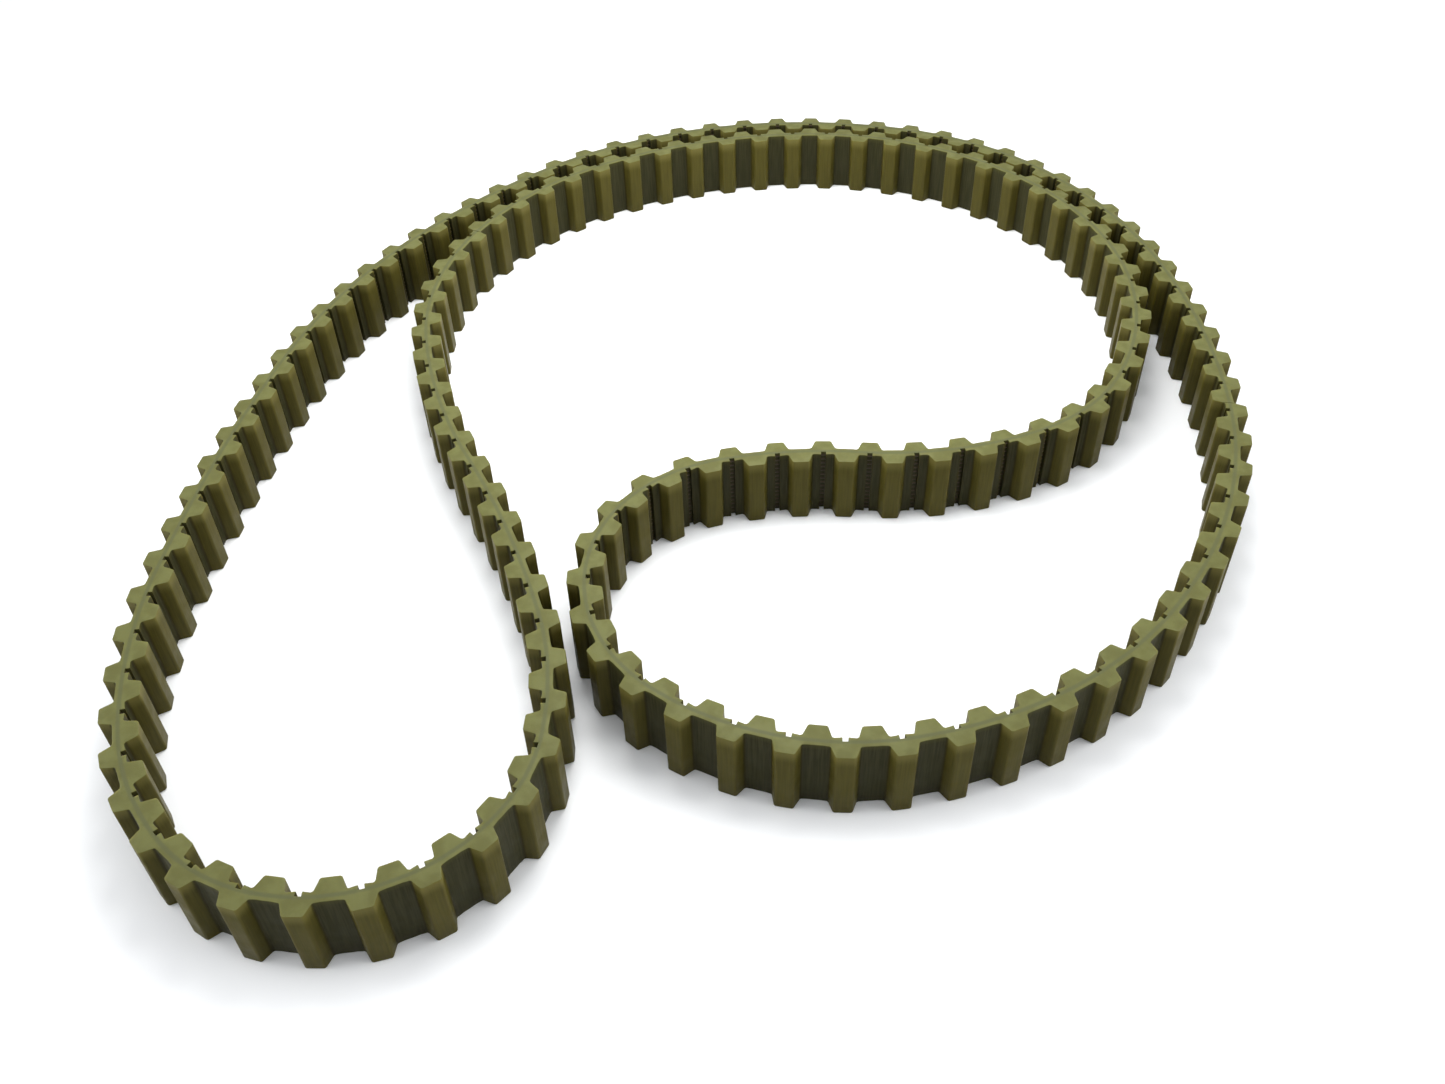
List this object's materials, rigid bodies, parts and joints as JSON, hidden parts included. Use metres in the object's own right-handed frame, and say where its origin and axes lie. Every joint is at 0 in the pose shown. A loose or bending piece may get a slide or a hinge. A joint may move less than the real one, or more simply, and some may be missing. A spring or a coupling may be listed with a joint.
{
  "type": "timing belt",
  "caption": "Endless double-sided polyurethane timing belt with staggered trapezoidal teeth, standing on edge in a folded lay.",
  "frame": {"origin": "on the face it stands on, under the middle of the belt's box", "axes": "+Z across the belt's width, up from the cut edge it stands on; +Y along the lay's longest side, +X to the right bend"},
  "size_m": [0.2358, 0.268, 0.016],
  "materials": {
    "polyurethane": "satin",
    "steel_cord": "satin"
  },
  "bodies": {
    "upper_run": {"inner_upper_run_1_casting": "polyurethane", "inner_upper_run_cords": "steel_cord", "inner_upper_run_2_casting": "polyurethane", "inner_upper_run_3_casting": "polyurethane", "inner_upper_run_4_casting": "polyurethane", "inner_upper_run_5_casting": "polyurethane", "right_bend_1_casting": "polyurethane", "right_bend_cords": "steel_cord", "right_bend_2_casting": "polyurethane", "outer_upper_run_1_casting": "polyurethane", "outer_upper_run_cords": "steel_cord", "outer_upper_run_2_casting": "polyurethane", "outer_upper_run_3_casting": "polyurethane"},
    "left_run_1": {"left_run_1_casting": "polyurethane", "left_run_1_cords": "steel_cord"},
    "left_run_2": {"left_run_2_casting": "polyurethane", "left_run_2_cords": "steel_cord"},
    "left_run_3": {"left_run_3_casting": "polyurethane", "left_run_3_cords": "steel_cord"},
    "left_run_4": {"left_run_4_casting": "polyurethane", "left_run_4_cords": "steel_cord"},
    "left_bight_1": {"left_bight_1_casting": "polyurethane", "left_bight_1_cords": "steel_cord"},
    "left_bight_2": {"left_bight_2_casting": "polyurethane", "left_bight_2_cords": "steel_cord"},
    "left_bight_3": {"left_bight_3_casting": "polyurethane", "left_bight_3_cords": "steel_cord"},
    "left_bight_4": {"left_bight_4_casting": "polyurethane", "left_bight_4_cords": "steel_cord"},
    "inner_left_run_1": {"inner_left_run_1_casting": "polyurethane", "inner_left_run_1_cords": "steel_cord"},
    "inner_left_run_2": {"inner_left_run_2_casting": "polyurethane", "inner_left_run_2_cords": "steel_cord"},
    "inner_left_run_3": {"inner_left_run_3_casting": "polyurethane", "inner_left_run_3_cords": "steel_cord"},
    "inner_bend_1": {"inner_bend_1_casting": "polyurethane", "inner_bend_1_cords": "steel_cord"},
    "tongue_run_1": {"tongue_run_1_casting": "polyurethane", "tongue_run_1_cords": "steel_cord"},
    "tongue_run_2": {"tongue_run_2_casting": "polyurethane", "tongue_run_2_cords": "steel_cord"},
    "tongue_tip_1": {"tongue_tip_1_casting": "polyurethane", "tongue_tip_1_cords": "steel_cord"},
    "tongue_tip_2": {"tongue_tip_2_casting": "polyurethane", "tongue_tip_2_cords": "steel_cord"},
    "front_run_1": {"front_run_1_casting": "polyurethane", "front_run_1_cords": "steel_cord"},
    "front_run_2": {"front_run_2_casting": "polyurethane", "front_run_2_cords": "steel_cord"},
    "front_run_3": {"front_run_3_casting": "polyurethane", "front_run_3_cords": "steel_cord"}
  },
  "joints": [
    {"name": "left_run_1_bend", "type": "hinge", "parent": "upper_run", "child": "left_run_1", "pos_m": [-0.04815, 0.10656, 0.008], "axis": [0, 0, -1], "range_deg": [-0.07, 1.26]},
    {"name": "left_run_2_bend", "type": "hinge", "parent": "left_run_1", "child": "left_run_2", "pos_m": [-0.08166, 0.06969, 0.008], "axis": [0, 0, -1], "range_deg": [-0.1, 1.94]},
    {"name": "left_loop_sway", "type": "hinge", "parent": "left_run_2", "child": "left_run_3", "pos_m": [-0.10501, 0.01481, 0.008], "axis": [0, 0, -1], "range_deg": [-0.1, 2.4], "stiffness_Nm_per_rad": 0.05},
    {"name": "left_run_4_bend", "type": "hinge", "parent": "left_run_3", "child": "left_run_4", "pos_m": [-0.11422, -0.05451, 0.008], "axis": [0, 0, -1], "range_deg": [-0.02, 0.13]},
    {"name": "left_bight_1_bend", "type": "hinge", "parent": "left_run_4", "child": "left_bight_1", "pos_m": [-0.10977, -0.09408, 0.008], "axis": [0, 0, -1], "range_deg": [-1.07, 0.06]},
    {"name": "left_bight_2_bend", "type": "hinge", "parent": "left_bight_1", "child": "left_bight_2", "pos_m": [-0.09475, -0.11968, 0.008], "axis": [0, 0, -1], "range_deg": [-0.77, 0.05]},
    {"name": "left_bight_3_bend", "type": "hinge", "parent": "left_bight_2", "child": "left_bight_3", "pos_m": [-0.05781, -0.12878, 0.008], "axis": [0, 0, -1], "range_deg": [-0.05, 0.79]},
    {"name": "left_bight_4_bend", "type": "hinge", "parent": "left_bight_3", "child": "left_bight_4", "pos_m": [-0.03415, -0.0994, 0.008], "axis": [0, 0, -1], "range_deg": [-0.04, 0.72]},
    {"name": "inner_left_run_1_bend", "type": "hinge", "parent": "left_bight_4", "child": "inner_left_run_1", "pos_m": [-0.03722, -0.06974, 0.008], "axis": [0, 0, -1], "range_deg": [-0.03, 0.3]},
    {"name": "inner_left_run_2_bend", "type": "hinge", "parent": "inner_left_run_1", "child": "inner_left_run_2", "pos_m": [-0.05606, -0.0235, 0.008], "axis": [0, 0, -1], "range_deg": [-0.42, 0.03]},
    {"name": "inner_left_run_3_bend", "type": "hinge", "parent": "inner_left_run_2", "child": "inner_left_run_3", "pos_m": [-0.07199, 0.02369, 0.008], "axis": [0, 0, -1], "range_deg": [-1.54, 0.08]},
    {"name": "tongue_swing", "type": "hinge", "parent": "upper_run", "child": "inner_bend_1", "pos_m": [0.09003, -0.00128, 0.008], "axis": [0, 0, 1], "range_deg": [-0.2, 5], "stiffness_Nm_per_rad": 0.05},
    {"name": "tongue_run_1_bend", "type": "hinge", "parent": "inner_bend_1", "child": "tongue_run_1", "pos_m": [0.06745, -0.0203, 0.008], "axis": [0, 0, 1], "range_deg": [-0.1, 2.04]},
    {"name": "tongue_run_2_bend", "type": "hinge", "parent": "tongue_run_1", "child": "tongue_run_2", "pos_m": [0.02823, -0.02539, 0.008], "axis": [0, 0, 1], "range_deg": [-0.03, 0.31]},
    {"name": "tongue_tip_1_bend", "type": "hinge", "parent": "tongue_run_2", "child": "tongue_tip_1", "pos_m": [-0.0016, -0.02651, 0.008], "axis": [0, 0, 1], "range_deg": [-0.53, 0.04]},
    {"name": "tongue_tip_2_bend", "type": "hinge", "parent": "tongue_tip_1", "child": "tongue_tip_2", "pos_m": [-0.02811, -0.0534, 0.008], "axis": [0, 0, 1], "range_deg": [-2.8, 0.13]},
    {"name": "front_run_1_bend", "type": "hinge", "parent": "tongue_tip_2", "child": "front_run_1", "pos_m": [-0.01558, -0.08945, 0.008], "axis": [0, 0, 1], "range_deg": [-0.03, 0.42]},
    {"name": "front_run_2_bend", "type": "hinge", "parent": "front_run_1", "child": "front_run_2", "pos_m": [0.03104, -0.10267, 0.008], "axis": [0, 0, 1], "range_deg": [-0.13, 2.9]},
    {"name": "front_run_3_bend", "type": "hinge", "parent": "front_run_2", "child": "front_run_3", "pos_m": [0.08278, -0.07463, 0.008], "axis": [0, 0, 1], "range_deg": [-2.2, 0.1]}
  ],
  "couplings": [
    {"joint": "left_run_1_bend", "follows": "left_loop_sway", "ratio": 0.5194},
    {"joint": "left_run_2_bend", "follows": "left_loop_sway", "ratio": 0.8035},
    {"joint": "left_run_4_bend", "follows": "left_loop_sway", "ratio": 0.0499},
    {"joint": "left_bight_1_bend", "follows": "left_loop_sway", "ratio": -0.441},
    {"joint": "left_bight_2_bend", "follows": "left_loop_sway", "ratio": -0.3144},
    {"joint": "left_bight_3_bend", "follows": "left_loop_sway", "ratio": 0.3234},
    {"joint": "left_bight_4_bend", "follows": "left_loop_sway", "ratio": 0.2945},
    {"joint": "inner_left_run_1_bend", "follows": "left_loop_sway", "ratio": 0.1172},
    {"joint": "inner_left_run_2_bend", "follows": "left_loop_sway", "ratio": -0.1671},
    {"joint": "inner_left_run_3_bend", "follows": "left_loop_sway", "ratio": -0.634},
    {"joint": "tongue_run_1_bend", "follows": "tongue_swing", "ratio": 0.4058},
    {"joint": "tongue_run_2_bend", "follows": "tongue_swing", "ratio": 0.0597},
    {"joint": "tongue_tip_1_bend", "follows": "tongue_swing", "ratio": -0.1035},
    {"joint": "tongue_tip_2_bend", "follows": "tongue_swing", "ratio": -0.5564},
    {"joint": "front_run_1_bend", "follows": "tongue_swing", "ratio": 0.082},
    {"joint": "front_run_2_bend", "follows": "tongue_swing", "ratio": 0.5769},
    {"joint": "front_run_3_bend", "follows": "tongue_swing", "ratio": -0.4363}
  ]
}
